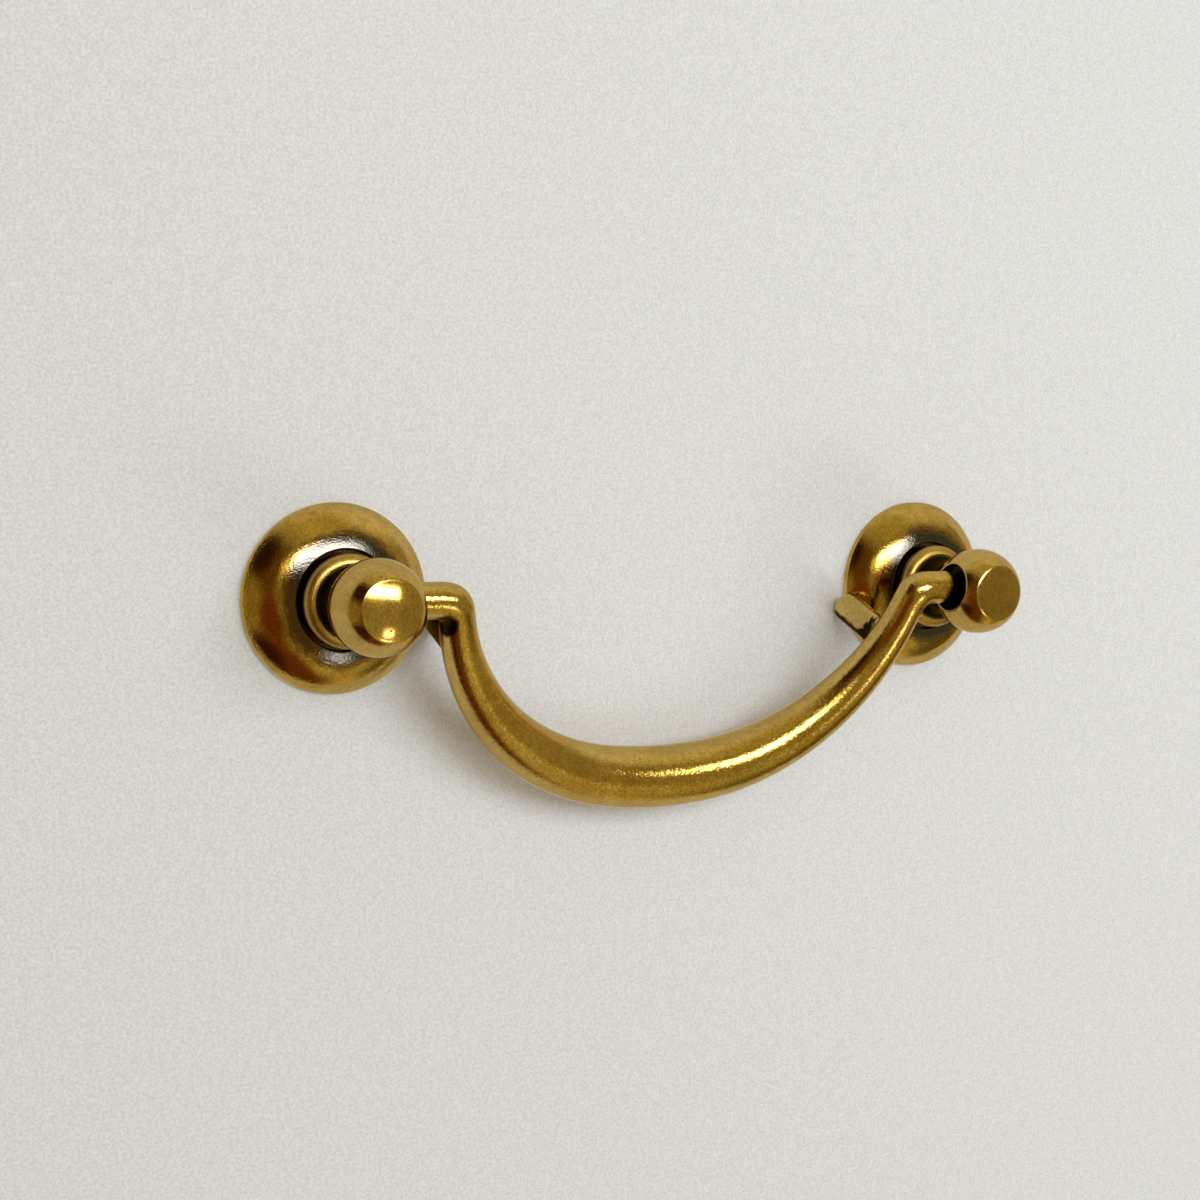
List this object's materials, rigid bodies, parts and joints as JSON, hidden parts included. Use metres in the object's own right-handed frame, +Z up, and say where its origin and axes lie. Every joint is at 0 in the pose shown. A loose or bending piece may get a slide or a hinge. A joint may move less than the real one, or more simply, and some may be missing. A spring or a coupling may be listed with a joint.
{
  "type": "bail pull",
  "caption": "Swan-neck bail pull: a tapered round bail bent outward into two turned ball posts on domed round roses.",
  "frame": {"origin": "midway between the two posts, in the plane of the drawer front on which the roses lie", "axes": "+X through the posts from left to right as the user faces the pull, +Y into the drawer front, +Z up"},
  "size_m": [0.1216, 0.022, 0.044],
  "materials": {
    "bail_brass": "cast, satin, antiqued with dark pits and dark recesses",
    "post_brass": "turned, satin, antiqued, black in the neck and the hole",
    "rose_brass": "turned, satin, antiqued, with black left in a ring round the collar"
  },
  "bodies": {
    "base": {"post_left": "post_brass", "post_right": "post_brass", "rose_left": "rose_brass", "rose_right": "rose_brass"},
    "bail": {"bail": "bail_brass"}
  },
  "joints": [
    {"name": "bail_hinge", "type": "hinge", "parent": "base", "child": "bail", "pos_m": [0, -0.0156, 0.00065], "axis": [-1, 0, 0], "range_deg": [0, 223]}
  ]
}
